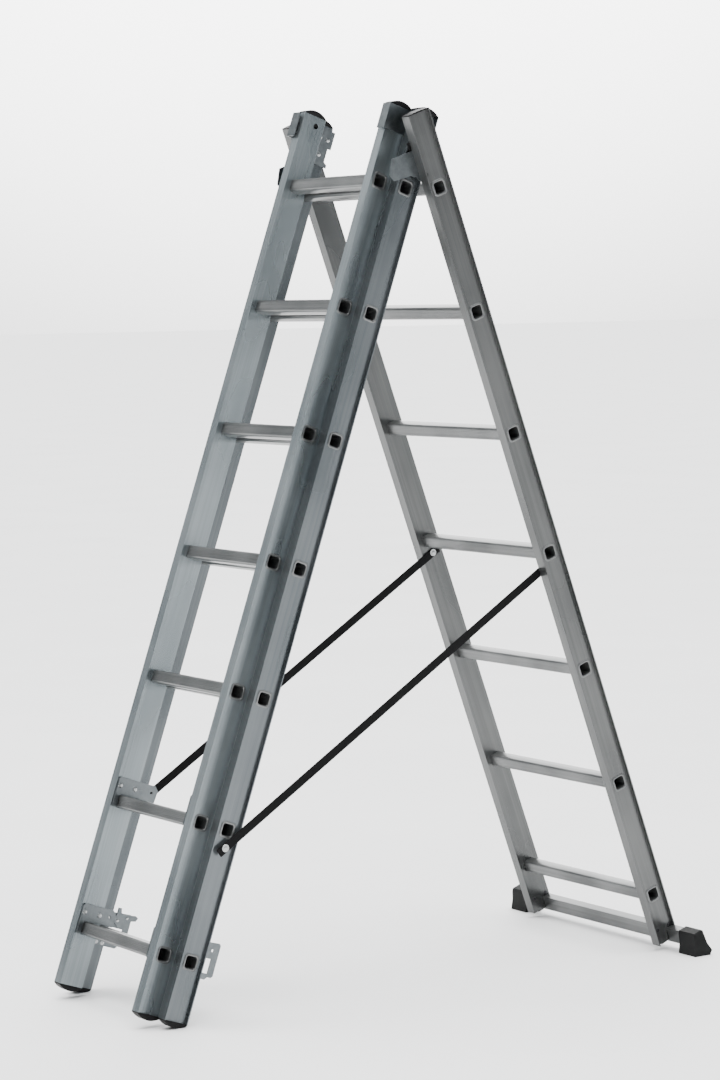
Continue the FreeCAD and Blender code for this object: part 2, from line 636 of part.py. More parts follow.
def build():
    """All nodes in the ladder's own frame, and the shift that brought them there."""
    nodes = {}
    folded = {}
    for name, side in SIDES.items():
        fly_drills = [r for which in HOOK_RUNGS for r in hook_rivets(which)]
        fly_drills.append(fly_hole())
        nodes["fly_stile_" + name] = on_side(stile(FLY_HALF, FLY_Y, STILE_FOOT, fly_drills),
                                             side)
        middle_drills = guide_rivets() + jaw_rivets() + [latch_rivet(), strap_front_bolt(),
                                                         hinge_pin()]
        nodes["middle_stile_" + name] = on_side(
            stile(MIDDLE_HALF, MIDDLE_Y, STILE_FOOT, middle_drills), side)
        hinge_hole = rod(BASE_HALF - STILE_WIDTH, BASE_HALF, HINGE.y, HINGE.z,
                         HINGE_PIN_RADIUS + HINGE_PIN_PLAY)
        base_drills = bar_bolts() + hinge_plate_rivets() + [
            strap_rear_bolt(), hinge_hole, bar_envelope(BASE_HALF + BAR_OVERHANG)]
        folded["base_stile_" + name] = on_side(
            stile(BASE_HALF, BASE_Y, STILE_FOOT + BASE_STILE_LIFT, base_drills), side)
        for which in HOOK_RUNGS:
            nodes["hook_flap_%s_%s" % (which, name)] = on_side(hook_flap(which), side)
        nodes["guide_bracket_" + name] = on_side(guide_bracket(), side)
        nodes["latch_" + name] = on_side(latch(), side)
        nodes["strap_" + name] = on_side(strap(), side)
        folded["hinge_plate_" + name] = on_side(hinge_plate(), side)
    for number in range(1, RUNG_COUNT + 1):
        nodes["fly_rung_%d" % number] = rung(FLY_HALF, FLY_Y, number)
        nodes["middle_rung_%d" % number] = rung(MIDDLE_HALF, MIDDLE_Y, number)
        folded["base_rung_%d" % number] = rung(BASE_HALF, BASE_Y, number)
    nodes["fly_top_caps"] = both_sides(crowned_cap(FLY_HALF, FLY_Y, STILE_TOP, 1))
    nodes["fly_foot_caps"] = both_sides(crowned_cap(FLY_HALF, FLY_Y, STILE_FOOT, -1))
    nodes["middle_top_caps"] = both_sides(crowned_cap(MIDDLE_HALF, MIDDLE_Y, STILE_TOP, 1))
    nodes["middle_foot_caps"] = both_sides(crowned_cap(MIDDLE_HALF, MIDDLE_Y, STILE_FOOT, -1))
    folded["base_top_caps"] = both_sides(
        crowned_cap(BASE_HALF, BASE_Y, STILE_TOP, 1, BASE_CAP_CROWN))
    for which in HOOK_RUNGS:
        nodes["hook_plates_" + which] = both_sides(hook_plate(which))
    nodes["hook_rivets"] = both_sides(Part.makeCompound(
        [r for which in HOOK_RUNGS for r in hook_rivets(which)]))
    nodes["latch_jaws"] = both_sides(latch_jaw())
    nodes["bracket_rivets"] = both_sides(Part.makeCompound(
        guide_rivets() + jaw_rivets() + [latch_rivet()]))
    nodes["hinge_pins"] = both_sides(hinge_pin())
    nodes["strap_bolts_front"] = both_sides(strap_front_bolt())
    folded["strap_bolts_rear"] = both_sides(strap_rear_bolt())
    folded["hinge_plate_rivets"] = both_sides(Part.makeCompound(hinge_plate_rivets()))
    folded["hinge_buffers"] = both_sides(hinge_buffer())
    folded["stabiliser_bar"] = stabiliser_bar()
    folded["foot_plugs"] = both_sides(foot_plug())
    folded["stabiliser_bolts"] = both_sides(Part.makeCompound(bar_bolts()))

    placed = {name: leaned(shape) for name, shape in nodes.items()}
    placed.update({name: leaned(opened(shape)) for name, shape in folded.items()})
    floor_z = tight_box(placed["middle_foot_caps"]).ZMin
    foot = stabiliser_foot(floor_z)
    for name, side in SIDES.items():
        placed["stabiliser_foot_" + name] = on_side(foot, side)

    extents = [tight_box(shape) for shape in placed.values()]
    middle_y = (min(e.YMin for e in extents) + max(e.YMax for e in extents)) / 2
    shift = Vector(0, -middle_y, -floor_z)
    for shape in placed.values():
        shape.translate(shift)
    return placed, shift


NODES, SHIFT = build()
os.makedirs("parts", exist_ok=True)
for node_name, node_shape in NODES.items():
    node_shape.exportStep(os.path.join("parts", node_name + ".step"))
print("%d nodes" % len(NODES))
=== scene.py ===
"""Looks of the three-section combination ladder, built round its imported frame.

Metres throughout, in the frame's own axes.  Each leg also has axes of its own: X across the
rungs, Y from front to back square to the stiles, and Z up along the stiles.  The front leg
carries the fly and middle sections, and the rear leg carries the base section.
"""
import bpy
import bmesh
import json
import math
from mathutils import Matrix, Vector

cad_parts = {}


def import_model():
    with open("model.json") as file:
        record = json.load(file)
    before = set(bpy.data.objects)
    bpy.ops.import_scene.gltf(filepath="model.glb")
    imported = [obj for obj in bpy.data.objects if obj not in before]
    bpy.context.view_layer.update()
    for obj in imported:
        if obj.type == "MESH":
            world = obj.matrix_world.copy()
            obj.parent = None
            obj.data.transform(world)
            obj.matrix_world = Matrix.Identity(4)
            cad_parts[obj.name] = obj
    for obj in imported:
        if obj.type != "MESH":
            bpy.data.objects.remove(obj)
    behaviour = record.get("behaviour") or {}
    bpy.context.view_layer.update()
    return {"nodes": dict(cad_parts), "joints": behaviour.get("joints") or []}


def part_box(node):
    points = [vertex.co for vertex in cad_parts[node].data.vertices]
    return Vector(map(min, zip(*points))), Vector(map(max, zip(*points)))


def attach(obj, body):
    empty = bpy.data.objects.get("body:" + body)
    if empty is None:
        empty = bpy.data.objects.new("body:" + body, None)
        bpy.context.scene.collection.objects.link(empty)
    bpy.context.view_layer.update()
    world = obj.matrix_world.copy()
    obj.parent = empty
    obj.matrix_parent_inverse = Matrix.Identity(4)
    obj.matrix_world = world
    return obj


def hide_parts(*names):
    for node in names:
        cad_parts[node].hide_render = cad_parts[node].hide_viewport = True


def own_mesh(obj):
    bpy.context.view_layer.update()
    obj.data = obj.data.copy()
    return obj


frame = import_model()
MM = 0.001

JOINTS = {joint["name"]: joint for joint in frame["joints"]}
NODES = frame["nodes"]
SLIDE = JOINTS["fly_slide"]["axis"]
LEAN = math.atan2(SLIDE[1], SLIDE[2])
FRONT_LEG = Matrix.Rotation(-LEAN, 3, "X")
REAR_LEG = Matrix.Rotation(LEAN, 3, "X")
SECTIONS = {"fly": FRONT_LEG, "middle": FRONT_LEG, "base": REAR_LEG}
SIDES = {"left": -1, "right": 1}
RUNG_COUNT = 7

RUNG_SIZE = 28 * MM
RUNG_WALL = 1.5 * MM
RUNG_CORNER = 5.6 * MM
GROOVE_COUNT = 6
GROOVE_WIDTH = 1.5 * MM
GROOVE_DEPTH = 0.6 * MM
GROOVE_PITCH = 3.4 * MM
BEAD_WIDTH = 3.6 * MM
BEAD_HEIGHT = 1.6 * MM
BEAD_SEAT = 0.3 * MM
BEAD_FOOT_INSET = 0.2 * MM
BEAD_LIP_DEPTH = 1.5 * MM
BEAD_RUN_IN = 2.0 * MM
BEAD_STEPS = 6
BEAD_FROM, BEAD_SWEEP = -20, 200
BEAD_CORNER_GAIN, BORE_CORNER_LOSS = 0.8, 0.3
CORNER_STEPS = 5

FASTENER_STEPS = 28
DOME_STEPS = 6
SHANK_SHOULDER = 0.9

EDGE = {"stile": 0.5 * MM, "plate": 0.35 * MM, "plastic": 0.9 * MM, "rubber": 2.2 * MM,
        "bar": 0.8 * MM}
EDGE_SEGMENTS = 2
EDGE_ANGLE = math.radians(40)
WELD_REACH = 0.01 * MM
NORMAL_WEIGHT = 80
VERTEX_DIGITS = 6


# ---- materials ------------------------------------------------------------------------------
# Noise scales are in waves a metre, and bump depths in metres.
DRAWN_LINES = {"along": 2.0, "across": 900.0}
DRAWN_BANDS = {"along": 1.2, "across": 160.0}
CLOUDS = (9.0, 9.0, 4.0)
ZINC_PATCHES = (70.0, 70.0, 70.0)
ZINC_GRAIN = (900.0, 900.0, 900.0)
DUST = (35.0, 35.0, 35.0)
FIBRES = (900.0, 900.0, 500.0)
TWILL, YARNS = 220.0, 260.0


def material(name):
    made = bpy.data.materials.new(name)
    made.use_nodes = True
    tree = made.node_tree
    return made, tree, tree.nodes["Principled BSDF"]


def node(tree, kind, inputs=None, **settings):
    """New shader node; inputs are either plain values or sockets to link from."""
    made = tree.nodes.new("ShaderNode" + kind)
    for key, value in settings.items():
        setattr(made, key, value)
    for key, value in (inputs or {}).items():
        if isinstance(value, bpy.types.NodeSocket):
            tree.links.new(value, made.inputs[key])
        else:
            made.inputs[key].default_value = value
    return made


def leg_coordinates(tree, leg_turn):
    """Object coordinates turned so that Z runs along the stiles."""
    place = node(tree, "TexCoord").outputs["Object"]
    return node(tree, "Mapping", {"Vector": place, "Rotation": (leg_turn, 0, 0)}).outputs[0]


def noise(tree, place, stretch, detail=3.0, roughness=0.55):
    scaled = node(tree, "Mapping", {"Vector": place, "Scale": stretch}).outputs[0]
    return node(tree, "TexNoise", {"Vector": scaled, "Scale": 1.0, "Detail": detail,
                                   "Roughness": roughness}).outputs["Fac"]


def spread(tree, value, low, high, from_low=0.3, from_high=0.7):
    return node(tree, "MapRange", {"Value": value, "From Min": from_low, "From Max": from_high,
                                   "To Min": low, "To Max": high}).outputs[0]


def blend_colours(tree, share, dark, light):
    mix = node(tree, "Mix", {0: share}, data_type="RGBA")
    ends = [socket for socket in mix.inputs if socket.type == "RGBA"]
    for socket, end in zip(ends, (dark, light)):
        if isinstance(end, bpy.types.NodeSocket):
            tree.links.new(end, socket)
        else:
            socket.default_value = (*end, 1)
    return [socket for socket in mix.outputs if socket.type == "RGBA"][0]


def average(tree, first, second, share):
    """first times (1 - share) plus second times share."""
    mix = node(tree, "Mix", data_type="FLOAT")
    mix.inputs[0].default_value = share
    tree.links.new(first, mix.inputs[2])
    tree.links.new(second, mix.inputs[3])
    return mix.outputs[0]


def bump(tree, height, strength, depth, under=None):
    inputs = {"Height": height, "Strength": strength, "Distance": depth}
    if under is not None:
        inputs["Normal"] = under
    return node(tree, "Bump", inputs).outputs[0]


def stretched(along_x, along, across):
    """Noise scale of marks that are long in X, or else in Z."""
    return (along, across, across) if along_x else (across, across, along)


def aluminium(name, leg_turn, along_x, dark, light, roughness):
    """Mill-finish extrusion: fine drawing lines along its length and soft cloudy patches."""
    made, tree, shader = material(name)
    place = leg_coordinates(tree, leg_turn)
    lines = noise(tree, place, stretched(along_x, **DRAWN_LINES), detail=4.0)
    bands = noise(tree, place, stretched(along_x, **DRAWN_BANDS), detail=2.0)
    clouds = noise(tree, place, CLOUDS, detail=2.0, roughness=0.45)
    streaks = average(tree, lines, bands, share=0.6)
    tone = average(tree, streaks, clouds, share=0.55)
    tone = spread(tree, tone, low=0.0, high=1.0, from_low=0.38, from_high=0.62)
    tree.links.new(blend_colours(tree, tone, dark, light), shader.inputs["Base Color"])
    sheen = spread(tree, clouds, low=roughness - 0.02, high=roughness + 0.04,
                   from_low=0.35, from_high=0.65)
    tree.links.new(sheen, shader.inputs["Roughness"])
    relief = bump(tree, bands, strength=0.12, depth=0.0004)
    tree.links.new(bump(tree, lines, strength=0.10, depth=0.0002, under=relief),
                   shader.inputs["Normal"])
    shader.inputs["Metallic"].default_value = 0.75
    return made


def zinc(name, dark, light, roughness):
    """Zinc-plated pressed steel: small mottled patches and faint rolling marks."""
    made, tree, shader = material(name)
    place = node(tree, "TexCoord").outputs["Object"]
    patches = noise(tree, place, ZINC_PATCHES, detail=2.0, roughness=0.5)
    grain = noise(tree, place, ZINC_GRAIN, detail=2.0)
    tone = average(tree, patches, grain, share=0.3)
    tone = spread(tree, tone, low=0.0, high=1.0, from_low=0.25, from_high=0.75)
    tree.links.new(blend_colours(tree, tone, dark, light), shader.inputs["Base Color"])
    tree.links.new(spread(tree, patches, low=roughness - 0.02, high=roughness + 0.05),
                   shader.inputs["Roughness"])
    tree.links.new(bump(tree, grain, strength=0.12, depth=0.0002), shader.inputs["Normal"])
    shader.inputs["Metallic"].default_value = 1.0
    return made


def moulded(name, dark, light, roughness, grain_scale, depth, specular):
    """Moulded plastic or rubber: fine spark-eroded grain and slightly dusty patches."""
    made, tree, shader = material(name)
    place = node(tree, "TexCoord").outputs["Object"]
    grain = noise(tree, place, (grain_scale,) * 3, detail=3.0)
    dust = noise(tree, place, DUST, detail=5.0, roughness=0.65)
    tone = spread(tree, dust, low=0.0, high=1.0)
    tree.links.new(blend_colours(tree, tone, dark, light), shader.inputs["Base Color"])
    tree.links.new(spread(tree, dust, low=roughness - 0.05, high=roughness + 0.12),
                   shader.inputs["Roughness"])
    tree.links.new(bump(tree, grain, strength=0.35, depth=depth), shader.inputs["Normal"])
    shader.inputs["Specular IOR Level"].default_value = specular
    return made


def webbing(name):
    """Black polyester webbing: a chevron twill over lengthwise yarns."""
    made, tree, shader = material(name)
    place = node(tree, "TexCoord").outputs["Object"]
    parts = node(tree, "SeparateXYZ", {"Vector": place})
    mirrored = node(tree, "Math", {0: parts.outputs["Y"]}, operation="ABSOLUTE").outputs[0]
    folded = node(tree, "CombineXYZ", {"X": mirrored, "Z": parts.outputs["Z"]}).outputs[0]
    twill = node(tree, "TexWave", {"Vector": folded, "Scale": TWILL, "Distortion": 0.6,
                                   "Detail": 2.0, "Detail Scale": 4.0},
                 wave_type="BANDS", bands_direction="DIAGONAL").outputs["Fac"]
    yarns = node(tree, "TexWave", {"Vector": place, "Scale": YARNS, "Distortion": 0.4},
                 wave_type="BANDS", bands_direction="Y").outputs["Fac"]
    fibre = noise(tree, place, FIBRES, detail=3.0)
    cloth = average(tree, twill, yarns, share=0.4)
    tone = average(tree, cloth, fibre, share=0.35)
    tone = spread(tree, tone, low=0.0, high=1.0, from_low=0.2, from_high=0.8)
    tree.links.new(blend_colours(tree, tone, *WEBBING_TONES), shader.inputs["Base Color"])
    tree.links.new(spread(tree, fibre, low=0.62, high=0.85), shader.inputs["Roughness"])
    relief = bump(tree, cloth, strength=0.6, depth=0.0004)
    tree.links.new(bump(tree, fibre, strength=0.3, depth=0.0002, under=relief),
                   shader.inputs["Normal"])
    shader.inputs["Sheen Weight"].default_value = 0.02
    shader.inputs["Sheen Roughness"].default_value = 0.5
    shader.inputs["Specular IOR Level"].default_value = 0.12
    return made


# Darkest and lightest base colour of each material; the fly, rim and bore tones hold painted light
# and shade, as said at each.
# The fly stiles are the same aluminium as the middle stiles; their lighter tones are painted
# light, lifting the shade in their recess beside the middle stile.
FLY_PAINTED_LIGHT_TONES = ((0.170, 0.196, 0.208), (0.262, 0.292, 0.304))
MIDDLE_TONES = ((0.088, 0.100, 0.107), (0.144, 0.158, 0.166))
BASE_TONES = ((0.081, 0.084, 0.084), (0.130, 0.133, 0.132))
RUNG_TONES = ((0.115, 0.119, 0.119), (0.193, 0.197, 0.196))
# The bead at each rung end is the rung's own aluminium; its near-white tones are a painted
# highlight.
RIM_PAINTED_HIGHLIGHT_TONES = ((0.74, 0.76, 0.76), (0.88, 0.90, 0.90))
# The inside of each rung tube is the same aluminium; its near-black tones are painted shade for
# the dark inside the open tube.
BORE_PAINTED_SHADE_TONES = ((0.030, 0.034, 0.038), (0.060, 0.065, 0.070))
ZINC_TONES = ((0.105, 0.118, 0.124), (0.175, 0.190, 0.197))
FASTENER_TONES = ((0.30, 0.31, 0.31), (0.45, 0.46, 0.46))
DARK_BOLT_TONES = ((0.03, 0.03, 0.032), (0.07, 0.07, 0.075))
PLASTIC_TONES = ((0.003, 0.003, 0.0035), (0.008, 0.008, 0.0085))
RUBBER_TONES = ((0.004, 0.0042, 0.0044), (0.011, 0.0115, 0.0115))
WEBBING_TONES = ((0.001, 0.001, 0.0011), (0.006, 0.006, 0.0065))
MATERIALS = {
    # The fly stiles' lighter tones are painted light.
    "fly_stile": aluminium("fly_stile", LEAN, False, *FLY_PAINTED_LIGHT_TONES, roughness=0.28),
    "middle_stile": aluminium("middle_stile", LEAN, False, *MIDDLE_TONES, roughness=0.28),
    "base_stile": aluminium("base_stile", -LEAN, False, *BASE_TONES, roughness=0.28),
    "front_rung": aluminium("front_rung", LEAN, True, *RUNG_TONES, roughness=0.33),
    "rear_rung": aluminium("rear_rung", -LEAN, True, *RUNG_TONES, roughness=0.33),
    "bar": aluminium("bar", -LEAN, True, *RUNG_TONES, roughness=0.34),
    # Painted highlight on the rung-end beads.
    "painted_highlight_rim": aluminium("painted_highlight_rim", LEAN, True, *RIM_PAINTED_HIGHLIGHT_TONES, roughness=0.24),
    # Painted shade inside the open rung ends.
    "bore": aluminium("bore", LEAN, True, *BORE_PAINTED_SHADE_TONES, roughness=0.45),
    "zinc": zinc("zinc", *ZINC_TONES, roughness=0.32),
    "fastener": zinc("fastener", *FASTENER_TONES, roughness=0.26),
    "dark_bolt": zinc("dark_bolt", *DARK_BOLT_TONES, roughness=0.4),
    "plastic": moulded("plastic", *PLASTIC_TONES, roughness=0.5, grain_scale=1400.0,
                       depth=0.0002, specular=0.15),
    "rubber": moulded("rubber", *RUBBER_TONES, roughness=0.6, grain_scale=900.0,
                      depth=0.0004, specular=0.15),
    "webbing": webbing("webbing"),
}


def paint(obj, *names):
    obj.data.materials.clear()
    for name in names:
        obj.data.materials.append(MATERIALS[name])


# ---- mesh helpers ---------------------------------------------------------------------------
def finished(name, bm, body, slot, replaced, *paints, sharp=35.0):
    """Object from a bmesh, shaded smooth but for its sharp edges, riding on its body."""
    bmesh.ops.recalc_face_normals(bm, faces=bm.faces)
    mesh = bpy.data.meshes.new(name)
    bm.to_mesh(mesh)
    bm.free()
    mesh.shade_smooth()
    mesh.set_sharp_from_angle(angle=math.radians(sharp))
    obj = bpy.data.objects.new(name, mesh)
    bpy.context.scene.collection.objects.link(obj)
    paint(obj, *paints)
    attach(obj, body)
    if replaced:
        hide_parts(*replaced)
    return obj


def loft(bm, loops, closed, paint_of=lambda i: 0):
    """Skin of quads over a row of loops that have equally many points."""
    rings = [[bm.verts.new(point) for point in loop] for loop in loops]
    pairs = list(zip(rings, rings[1:] + rings[:1])) if closed else list(zip(rings, rings[1:]))
    for i, (first, second) in enumerate(pairs):
        for j in range(len(first)):
            k = (j + 1) % len(first)
            face = bm.faces.new((first[j], first[k], second[k], second[j]))
            face.material_index = paint_of(i)
    return rings


def islands(name):
    """Lowest and highest corner of every separate solid in a CAD node, in the frame."""
    mesh = NODES[name].data
    keys = [tuple(round(c, VERTEX_DIGITS) for c in vertex.co) for vertex in mesh.vertices]
    parent = {key: key for key in keys}

    def root(key):
        while parent[key] != key:
            parent[key] = parent[parent[key]]
            key = parent[key]
        return key

    for polygon in mesh.polygons:
        first = root(keys[polygon.vertices[0]])
        for index in polygon.vertices[1:]:
            parent[root(keys[index])] = first
    groups = {}
    for key in parent:
        groups.setdefault(root(key), []).append(key)
    boxes = []
    for points in groups.values():
        low = Vector(tuple(min(p[i] for p in points) for i in range(3)))
        high = Vector(tuple(max(p[i] for p in points) for i in range(3)))
        boxes.append((low, high))
    return sorted(boxes, key=lambda pair: tuple(pair[0]))


def centre_of(name):
    low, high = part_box(name)
    return (low + high) / 2


def soften(name, width):
    """Rounds a CAD piece's edges and gives it even shading, by modifiers alone."""
    obj = NODES[name]
    weld = obj.modifiers.new("weld", "WELD")
    weld.merge_threshold = WELD_REACH
    bevel = obj.modifiers.new("edges", "BEVEL")
    bevel.width = width
    bevel.segments = EDGE_SEGMENTS
    bevel.limit_method = "ANGLE"
    bevel.angle_limit = EDGE_ANGLE
    normals = obj.modifiers.new("normals", "WEIGHTED_NORMAL")
    normals.weight = NORMAL_WEIGHT


# ---- rungs ----------------------------------------------------------------------------------
def rung_section(half, corner, groove_depth):
    """Loop round a rung, seen along X in the leg's axes, with its grooves on the front side."""
    front_quarter = 2
    groove_outline = ((0.5, 0), (0.3, 1), (-0.3, 1), (-0.5, 0))
    points = []
    straight = half - corner
    for quarter, (cy, cz) in enumerate(((1, -1), (1, 1), (-1, 1), (-1, -1))):
        for step in range(CORNER_STEPS):
            turn = math.radians(-90 + 90 * quarter + 90 * step / (CORNER_STEPS - 1))
            points.append((cy * straight + corner * math.cos(turn),
                           cz * straight + corner * math.sin(turn)))
        if quarter == front_quarter:
            for groove in range(GROOVE_COUNT):
                middle = ((GROOVE_COUNT - 1) / 2 - groove) * GROOVE_PITCH
                for share, depth in groove_outline:
                    points.append((-half + depth * groove_depth, middle + share * GROOVE_WIDTH))
    return points


def rung(section, number):
    """Ribbed square tube, whose ends are swaged over the outside of the stiles as a bead."""
    name = "%s_rung_%d" % (section, number)
    leg = SECTIONS[section]
    centre = centre_of(name)
    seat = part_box(name)[1].x - BEAD_HEIGHT
    half = RUNG_SIZE / 2
    bore = half - RUNG_WALL
    reach = half + BEAD_WIDTH
    bead = [(seat - BEAD_SEAT, half, 0.0), (seat, reach - BEAD_FOOT_INSET, 0.0)]
    for step in range(BEAD_STEPS + 1):
        turn = math.radians(BEAD_FROM + BEAD_SWEEP * step / BEAD_STEPS)
        rise = (BEAD_HEIGHT - BEAD_SEAT) * max(0.0, math.sin(turn))
        bead.append((seat + BEAD_SEAT + rise,
                     (reach + bore) / 2 + (reach - bore) / 2 * math.cos(turn), 0.0))
    bead.append((seat - BEAD_LIP_DEPTH, bore, 0.0))
    right = [(seat - BEAD_RUN_IN, half, 1.0)] + bead
    stations = right + [(-x, size, share) for x, size, share in reversed(right)]
    loops = []
    for x, size, share in stations:
        corner = (RUNG_CORNER + max(0.0, size - half) * BEAD_CORNER_GAIN
                  - max(0.0, half - size) * BORE_CORNER_LOSS)
        loop = rung_section(size, corner, GROOVE_DEPTH * share)
        loops.append([centre + leg @ Vector((x, y, z)) for y, z in loop])
    metal = "rear_rung" if section == "base" else "front_rung"
    paints = (metal, "bore", "painted_highlight_rim")
    # The band that lines the tube from end to end is painted dark as painted shade.
    painted_shade_band = len(right) - 1
    # The bead bands at both ends get the painted highlight.
    painted_highlight_bands = set(range(1, painted_shade_band)) | set(range(painted_shade_band + 1, len(loops) - 2))

    def paint_of(band):
        kind = "bore" if band == painted_shade_band else "painted_highlight_rim" if band in painted_highlight_bands else metal
        return paints.index(kind)

    bm = bmesh.new()
    loft(bm, loops, True, paint_of)
    finished("ribbed_" + name, bm, section + "_section", "rung_aluminium", [name], *paints)


# ---- fasteners ------------------------------------------------------------------------------
DOME_FOOT = 0.96
DOME_RIM_HEIGHT, DOME_SPRING_HEIGHT = 0.12, 0.2
DOME_HOLE_DEPTH = 0.7 * MM
DOME_HOLE_TAPER = 0.85
WASHER_RIM = 0.3 * MM
WASHER_SHARE = 0.6
BUTTON_SHARE = 0.55
BUTTON_HEIGHT = 0.9 * MM
BUTTON_FULLNESS = 0.7
BUTTON_FOOT = 0.98


def dome(radius, height, hole=0.0):
    """Profile of a domed head from its seat to its crown, as (reach, radius) pairs."""
    points = [(0.0, radius * DOME_FOOT), (DOME_RIM_HEIGHT * height, radius)]
    for step in range(1, DOME_STEPS + 1):
        turn = math.radians(90 * step / DOME_STEPS)
        size = radius * math.cos(turn)
        if size > hole:
            rise = DOME_SPRING_HEIGHT + (1 - DOME_SPRING_HEIGHT) * math.sin(turn)
            points.append((height * rise, size))
    if hole:
        points += [(height, hole), (height - DOME_HOLE_DEPTH, hole * DOME_HOLE_TAPER)]
    return points


def washer_head(radius, thickness):
    """Flat washer under a low domed bolt head."""
    button = radius * BUTTON_SHARE
    washer = thickness * WASHER_SHARE
    crown = washer + WASHER_RIM
    points = [(0.0, radius - WASHER_RIM), (WASHER_RIM, radius), (washer, radius),
              (crown, radius - WASHER_RIM), (crown, button)]
    for step in range(DOME_STEPS):
        turn = math.radians(90 * step / DOME_STEPS)
        points.append((crown + BUTTON_HEIGHT * math.sin(turn) ** BUTTON_FULLNESS,
                       button * math.cos(turn) * BUTTON_FOOT))
    return points


def spin(bm, middle, seat_x, outward, profile):
    """Turns a profile about an X axis through middle, standing on the plane x = seat_x."""
    loops = []
    for reach, radius in profile:
        x = seat_x + outward * reach
        loops.append([Vector((x, middle.y + radius * math.cos(a), middle.z + radius * math.sin(a)))
                      for a in (2 * math.pi * i / FASTENER_STEPS for i in range(FASTENER_STEPS))])
    rings = loft(bm, loops, False)
    bm.faces.new(rings[0])
    bm.faces.new(rings[-1])


def fasteners(name, body, slot, metal, profile, head_height, inward, shank, both_ends=False):
    """Every rivet or bolt of a CAD node, as a turned head on a plain shank."""
    bm = bmesh.new()
    for low, high in islands(name):
        middle = (low + high) / 2
        side = 1 if middle.x > 0 else -1
        near, far = (low.x, high.x) if side > 0 else (high.x, low.x)
        head_end, tail_end, out = (near, far, -side) if inward else (far, near, side)
        seat = head_end - out * head_height
        spin(bm, middle, seat, out, profile)
        if both_ends:
            spin(bm, middle, tail_end + out * head_height, -out, profile)
        length = abs(tail_end - seat)
        spin(bm, middle, seat, -out, [(0.0, shank), (length * SHANK_SHOULDER, shank),
                                      (length, shank * SHANK_SHOULDER)])
    finished("turned_" + name, bm, body, slot, [name], metal)


# ---- straps ---------------------------------------------------------------------------------
STRAP_WIDTH = 19 * MM
STRAP_THICKNESS = 1.5 * MM
STRAP_TAIL = 18.6 * MM
WARP_COLUMNS = 10
WEFT_PITCH = 2.0 * MM
WEAVE_RELIEF = 0.12 * MM
END_ROUNDING = 2 * MM
END_WIDTH = 0.90
EDGE_THICKNESS = 0.35
EDGE_POWER = 6


def strap(side):
    """Taut flat webbing between the front and rear strap bolts, cut almost square at its ends."""
    name = "strap_" + side
    rear = [(low + high) / 2 for low, high in islands("strap_bolts_rear")
            if (low + high).x * SIDES[side] > 0][0]
    start = Vector(JOINTS[name + "_swing"]["pos_m"])
    start.x = centre_of(name).x
    end = Vector((start.x, rear.y, rear.z))
    along = (end - start).normalized()
    across = along.cross(Vector((1, 0, 0))).normalized()
    length = (end - start).length
    axes = Matrix((Vector((1, 0, 0)), across, along)).transposed().to_4x4()
    axes.translation = start
    rows = int((length + 2 * STRAP_TAIL) / WEFT_PITCH * 2)
    columns = 2 * WARP_COLUMNS
    bm = bmesh.new()
    loops = []
    for row in range(rows + 1):
        z = -STRAP_TAIL + (length + 2 * STRAP_TAIL) * row / rows
        from_end = min(z + STRAP_TAIL, length + STRAP_TAIL - z)
        rounding = math.sqrt(max(0.0, 1 - max(0.0, 1 - from_end / END_ROUNDING) ** 2))
        half_width = STRAP_WIDTH / 2 * (END_WIDTH + (1 - END_WIDTH) * rounding)
        loop = []
        for face in (1, -1):
            for column in range(columns + 1):
                share = (2 * column / columns - 1) * face
                edge = math.sqrt(max(0.0, 1 - abs(share) ** EDGE_POWER))
                weave = WEAVE_RELIEF * (1 if (column + row // 2) % 2 else 0) * edge
                plain = STRAP_THICKNESS / 2 * (EDGE_THICKNESS + (1 - EDGE_THICKNESS) * edge)
                height = plain - WEAVE_RELIEF + weave
                loop.append(Vector((face * height, share * half_width, z)))
        loops.append(loop)
    rings = loft(bm, loops, False)
    bm.faces.new(rings[0])
    bm.faces.new(rings[-1])
    obj = finished("webbing_" + name, bm, name, "strap_webbing", [name], "webbing", sharp=80.0)
    obj.parent = None
    obj.matrix_world = axes
    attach(obj, name)
    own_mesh(obj)


# ---- locking catch --------------------------------------------------------------------------
# The outline and the rivets are (Y, Z) offsets from the latch's pivot, in mm and leg axes.
CATCH_THICKNESS = 2.5 * MM
CATCH_OUTLINE = ((16.5, -7), (15.5, 3), (18.5, 15), (18.5, 27), (26.5, 27), (28.5, 17), (43.5, 15),
                 (65.5, 18), (72.5, 14), (68.5, 6), (45.5, 2), (39.5, -11), (27.5, -15))
CATCH_RIVETS = ((23.5, -1.0), (45.5, 8.5))
CATCH_RIVET_RADIUS, CATCH_RIVET_HEIGHT = 3.6 * MM, 1.1 * MM


